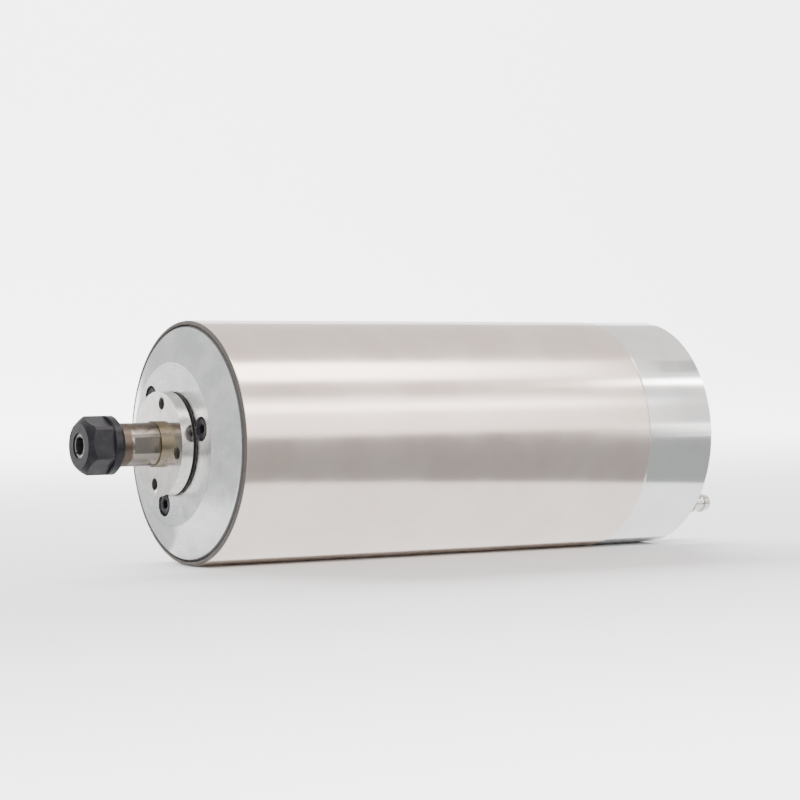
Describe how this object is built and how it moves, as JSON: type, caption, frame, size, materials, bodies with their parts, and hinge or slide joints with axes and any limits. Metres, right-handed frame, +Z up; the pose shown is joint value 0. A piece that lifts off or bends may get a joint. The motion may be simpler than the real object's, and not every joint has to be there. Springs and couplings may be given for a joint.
{
  "type": "water-cooled motor spindle",
  "caption": "Round-bodied water-cooled milling motor: steel tube, coned front end, spring collet under a hexagonal nut, and a rear cap with hose barbs and a power socket.",
  "frame": {"origin": "on the shaft's axis, at the middle of the 80 mm tube that a clamp holds", "axes": "+X along the shaft from the collet nut to the rear cap, +Z up, as the spindle lies on its side with its hose barbs at the bottom of the rear face"},
  "size_m": [0.2469, 0.08, 0.08],
  "materials": {
    "stainless": "satin stainless tube, brushed round",
    "front_aluminium": "finely turned aluminium",
    "cap_aluminium": "polished aluminium",
    "inner_aluminium": "machined aluminium",
    "ground_steel": "ground steel",
    "bright_steel": "polished steel",
    "black_oxide": "black oxide",
    "collet_steel": "hardened grey spring steel",
    "electrical_steel": "stacked sheets",
    "copper": "enamelled copper",
    "brass": "turned brass",
    "nickel": "nickel plate",
    "phenolic": "fabric-filled resin",
    "insulator": "moulded insulator",
    "rubber": "black rubber"
  },
  "bodies": {
    "housing": {"body_tube": "stainless", "front_flange": "front_aluminium", "front_bearing_cover": "front_aluminium", "cover_screws": "black_oxide", "outer_spacer": "ground_steel", "preload_spring": "collet_steel", "stator_core": "electrical_steel", "stator_windings": "copper", "water_jacket": "inner_aluminium", "jacket_rings": "rubber", "rear_bearing_plate": "inner_aluminium", "rear_cap": "cap_aluminium", "cap_screws": "black_oxide", "water_inlet_fitting": "nickel", "water_outlet_fitting": "nickel", "fitting_washers": "copper", "socket_shell": "nickel", "socket_gasket": "rubber", "socket_insert": "insulator", "socket_contacts": "brass", "front_bearing_a_outer_ring": "bright_steel", "front_bearing_b_outer_ring": "bright_steel", "rear_bearing_outer_ring": "bright_steel"},
    "rotor": {"spindle_shaft": "ground_steel", "labyrinth_nut": "bright_steel", "inner_spacer": "ground_steel", "tail_lock_nut": "ground_steel", "rotor_core": "electrical_steel", "rotor_cage": "copper", "front_balance_ring": "brass", "rear_balance_ring": "brass", "front_bearing_a_inner_ring": "bright_steel", "front_bearing_b_inner_ring": "bright_steel", "rear_bearing_inner_ring": "bright_steel"},
    "front_bearing_a_ball_set": {"front_bearing_a_balls": "bright_steel", "front_bearing_a_cage": "phenolic"},
    "front_bearing_b_ball_set": {"front_bearing_b_balls": "bright_steel", "front_bearing_b_cage": "phenolic"},
    "rear_bearing_ball_set": {"rear_bearing_balls": "bright_steel", "rear_bearing_cage": "phenolic"},
    "collet": {"collet": "collet_steel"},
    "nut": {"collet_nut": "black_oxide"}
  },
  "joints": [
    {"name": "shaft_spin", "type": "hinge", "parent": "housing", "child": "rotor", "pos_m": [0, 0, 0], "axis": [1, 0, 0], "continuous": true},
    {"name": "front_bearing_a_roll", "type": "hinge", "parent": "housing", "child": "front_bearing_a_ball_set", "pos_m": [0, 0, 0], "axis": [1, 0, 0], "continuous": true},
    {"name": "front_bearing_b_roll", "type": "hinge", "parent": "housing", "child": "front_bearing_b_ball_set", "pos_m": [0, 0, 0], "axis": [1, 0, 0], "continuous": true},
    {"name": "rear_bearing_roll", "type": "hinge", "parent": "housing", "child": "rear_bearing_ball_set", "pos_m": [0, 0, 0], "axis": [1, 0, 0], "continuous": true},
    {"name": "collet_draw", "type": "slide", "parent": "rotor", "child": "collet", "axis": [-1, 0, 0], "range_m": [0, 0.00225]},
    {"name": "nut_turn", "type": "hinge", "parent": "collet", "child": "nut", "pos_m": [-0.1184, 0, 0], "axis": [-1, 0, 0], "range_deg": [0, 1080]}
  ],
  "couplings": [
    {"joint": "front_bearing_a_roll", "follows": "shaft_spin", "ratio": 0.4022},
    {"joint": "front_bearing_b_roll", "follows": "shaft_spin", "ratio": 0.4022},
    {"joint": "rear_bearing_roll", "follows": "shaft_spin", "ratio": 0.4022},
    {"joint": "nut_turn", "follows": "collet_draw", "rad_per_m": 8377.6}
  ]
}
